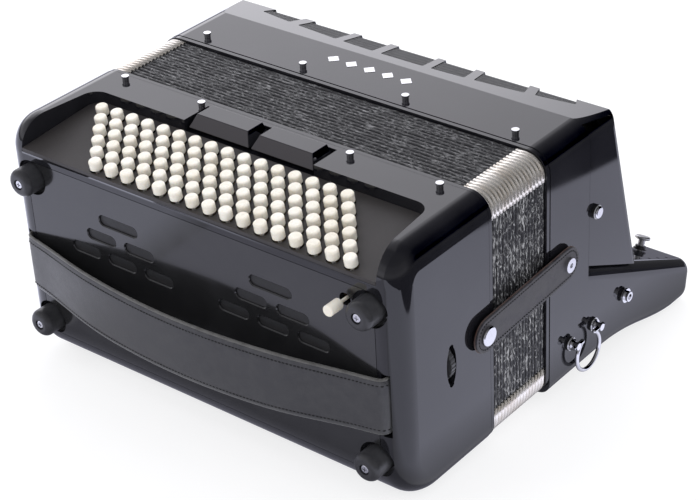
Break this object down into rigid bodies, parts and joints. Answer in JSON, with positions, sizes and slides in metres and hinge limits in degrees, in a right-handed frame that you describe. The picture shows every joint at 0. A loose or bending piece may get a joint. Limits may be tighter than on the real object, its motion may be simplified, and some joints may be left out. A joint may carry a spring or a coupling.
{
  "type": "piano accordion",
  "caption": "Compact black piano accordion lying on its back: keyboard side, bellows and button side, with straps, feet, rings and register switches.",
  "frame": {"origin": "middle of the treble casing's flat back face", "axes": "+X along the body to the chin end, +Y along the bellows axis to the keyboard, +Z out of the front"},
  "size_m": [0.417, 0.4523, 0.2524],
  "materials": {
    "black_celluloid": "polished black celluloid over wood",
    "board": "matte dark board",
    "ivory_plastic": "off-white plastic",
    "black_plastic": "gloss black plastic",
    "rubber_feet": "satin black rubber",
    "screw_steel": "polished",
    "spring_steel": "drawn wire",
    "mesh_metal": "black woven mesh",
    "guard_metal": "nickel silver",
    "reed_aluminium": "satin",
    "emblem_silver": "satin inlay",
    "bellows_cloth": "coated bellows cloth over card",
    "inner_wood": "raw spruce and beech",
    "felt": "pressed felt",
    "strap_leather": "black leather",
    "wheel_plastic": "knurled black plastic"
  },
  "bodies": {
    "treble": {"treble_casing": "black_celluloid", "grille_cover": "black_celluloid", "grille_mesh": "mesh_metal", "grille_screws": "screw_steel", "emblem": "emblem_silver", "register_rail": "reed_aluminium", "key_axle": "spring_steel", "key_felt": "felt", "key_springs": "spring_steel", "treble_soundboard": "inner_wood", "treble_reed_blocks": "inner_wood", "treble_reed_plates": "reed_aluminium", "master_collar": "black_plastic", "ring_posts": "screw_steel", "parking_studs": "screw_steel", "strap_screws": "screw_steel", "treble_bellows_pins": "screw_steel", "treble_bellows_frame": "black_celluloid", "treble_gasket": "felt", "bellows_folds": "bellows_cloth", "bellows_corner_guards": "guard_metal"},
    "bass": {"bass_casing": "black_celluloid", "button_board": "board", "bass_plate": "black_plastic", "plate_screens": "mesh_metal", "bass_feet": "rubber_feet", "foot_screws": "screw_steel", "hand_strap": "strap_leather", "adjuster_screw": "spring_steel", "bass_soundboard": "inner_wood", "bass_reed_blocks": "inner_wood", "bass_bellows_pins": "screw_steel", "bellows_strap_studs": "screw_steel", "bass_bellows_frame": "black_celluloid", "bass_gasket": "felt"},
    "button_row_1": {"button_row_1": "ivory_plastic"},
    "button_row_2": {"button_row_2": "ivory_plastic"},
    "button_row_3": {"button_row_3": "ivory_plastic"},
    "button_row_4": {"button_row_4": "ivory_plastic"},
    "button_row_5": {"button_row_5": "ivory_plastic"},
    "button_row_6": {"button_row_6": "ivory_plastic"},
    "air_button": {"air_button": "ivory_plastic"},
    "bass_register_1": {"bass_register_1": "black_plastic"},
    "bass_register_2": {"bass_register_2": "black_plastic"},
    "white_keys": {"white_keys": "ivory_plastic"},
    "black_keys": {"black_keys": "black_plastic"},
    "treble_register_1": {"treble_register_1": "black_plastic"},
    "treble_register_2": {"treble_register_2": "black_plastic"},
    "treble_register_3": {"treble_register_3": "black_plastic"},
    "treble_register_4": {"treble_register_4": "black_plastic"},
    "treble_register_5": {"treble_register_5": "black_plastic"},
    "master_switch": {"master_switch": "screw_steel"},
    "strap_ring_top": {"strap_ring_top": "screw_steel"},
    "bellows_strap_top": {"bellows_strap_top": "strap_leather", "snap_top": "screw_steel"},
    "strap_ring_bottom": {"strap_ring_bottom": "screw_steel"},
    "bellows_strap_bottom": {"bellows_strap_bottom": "strap_leather", "snap_bottom": "screw_steel"},
    "adjuster_wheel": {"adjuster_wheel": "wheel_plastic"}
  },
  "joints": [
    {"name": "bellows_slide", "type": "slide", "parent": "treble", "child": "bass", "axis": [0, -1, 0], "range_m": [0, 0.25]},
    {"name": "button_row_1_press", "type": "slide", "parent": "bass", "child": "button_row_1", "axis": [0, 0.159, -0.9873], "range_m": [0, 0.004], "stiffness_N_per_m": 200},
    {"name": "button_row_2_press", "type": "slide", "parent": "bass", "child": "button_row_2", "axis": [0, 0.159, -0.9873], "range_m": [0, 0.004], "stiffness_N_per_m": 200},
    {"name": "button_row_3_press", "type": "slide", "parent": "bass", "child": "button_row_3", "axis": [0, 0.159, -0.9873], "range_m": [0, 0.004], "stiffness_N_per_m": 200},
    {"name": "button_row_4_press", "type": "slide", "parent": "bass", "child": "button_row_4", "axis": [0, 0.159, -0.9873], "range_m": [0, 0.004], "stiffness_N_per_m": 200},
    {"name": "button_row_5_press", "type": "slide", "parent": "bass", "child": "button_row_5", "axis": [0, 0.159, -0.9873], "range_m": [0, 0.004], "stiffness_N_per_m": 200},
    {"name": "button_row_6_press", "type": "slide", "parent": "bass", "child": "button_row_6", "axis": [0, 0.159, -0.9873], "range_m": [0, 0.004], "stiffness_N_per_m": 200},
    {"name": "air_button_press", "type": "slide", "parent": "bass", "child": "air_button", "axis": [0, 1, 0], "range_m": [0, 0.005], "stiffness_N_per_m": 100},
    {"name": "bass_register_1_rock", "type": "hinge", "parent": "bass", "child": "bass_register_1", "pos_m": [-0.0386, -0.117, 0.218], "axis": [1, 0, 0], "range_deg": [0, 6]},
    {"name": "bass_register_2_rock", "type": "hinge", "parent": "bass", "child": "bass_register_2", "pos_m": [0.0266, -0.117, 0.218], "axis": [1, 0, 0], "range_deg": [0, 6]},
    {"name": "white_keys_press", "type": "hinge", "parent": "treble", "child": "white_keys", "pos_m": [0, 0.02, 0.082], "axis": [-1, 0, 0], "range_deg": [0, 1.7], "stiffness_Nm_per_rad": 2},
    {"name": "black_keys_press", "type": "hinge", "parent": "treble", "child": "black_keys", "pos_m": [0, 0.02, 0.082], "axis": [-1, 0, 0], "range_deg": [0, 1.7], "stiffness_Nm_per_rad": 2},
    {"name": "treble_register_1_rock", "type": "hinge", "parent": "treble", "child": "treble_register_1", "pos_m": [-0.054, 0.0819, 0.16564], "axis": [-1, 0, 0], "range_deg": [0, 6]},
    {"name": "treble_register_2_rock", "type": "hinge", "parent": "treble", "child": "treble_register_2", "pos_m": [-0.027, 0.0819, 0.16564], "axis": [-1, 0, 0], "range_deg": [0, 6]},
    {"name": "treble_register_3_rock", "type": "hinge", "parent": "treble", "child": "treble_register_3", "pos_m": [0, 0.0819, 0.16564], "axis": [-1, 0, 0], "range_deg": [0, 6]},
    {"name": "treble_register_4_rock", "type": "hinge", "parent": "treble", "child": "treble_register_4", "pos_m": [0.027, 0.0819, 0.16564], "axis": [-1, 0, 0], "range_deg": [0, 6]},
    {"name": "treble_register_5_rock", "type": "hinge", "parent": "treble", "child": "treble_register_5", "pos_m": [0.054, 0.0819, 0.16564], "axis": [-1, 0, 0], "range_deg": [0, 6]},
    {"name": "master_switch_press", "type": "slide", "parent": "treble", "child": "master_switch", "axis": [0, -0.4327, -0.9015], "range_m": [0, 0.003], "stiffness_N_per_m": 100},
    {"name": "strap_ring_top_swing", "type": "hinge", "parent": "treble", "child": "strap_ring_top", "pos_m": [0.206, 0.0185, 0.036], "axis": [0, -1, 0], "range_deg": [0, 100]},
    {"name": "bellows_strap_top_swing", "type": "hinge", "parent": "treble", "child": "bellows_strap_top", "pos_m": [0.2022, -0.01, 0.119], "axis": [-1, 0, 0], "range_deg": [0, 120]},
    {"name": "strap_ring_bottom_swing", "type": "hinge", "parent": "treble", "child": "strap_ring_bottom", "pos_m": [-0.206, 0.0185, 0.036], "axis": [0, 1, 0], "range_deg": [0, 100]},
    {"name": "bellows_strap_bottom_swing", "type": "hinge", "parent": "treble", "child": "bellows_strap_bottom", "pos_m": [-0.2022, -0.01, 0.119], "axis": [-1, 0, 0], "range_deg": [0, 120]},
    {"name": "adjuster_wheel_turn", "type": "hinge", "parent": "bass", "child": "adjuster_wheel", "pos_m": [0.1835, -0.16, 0.105], "axis": [0, 1, 0], "continuous": true}
  ]
}
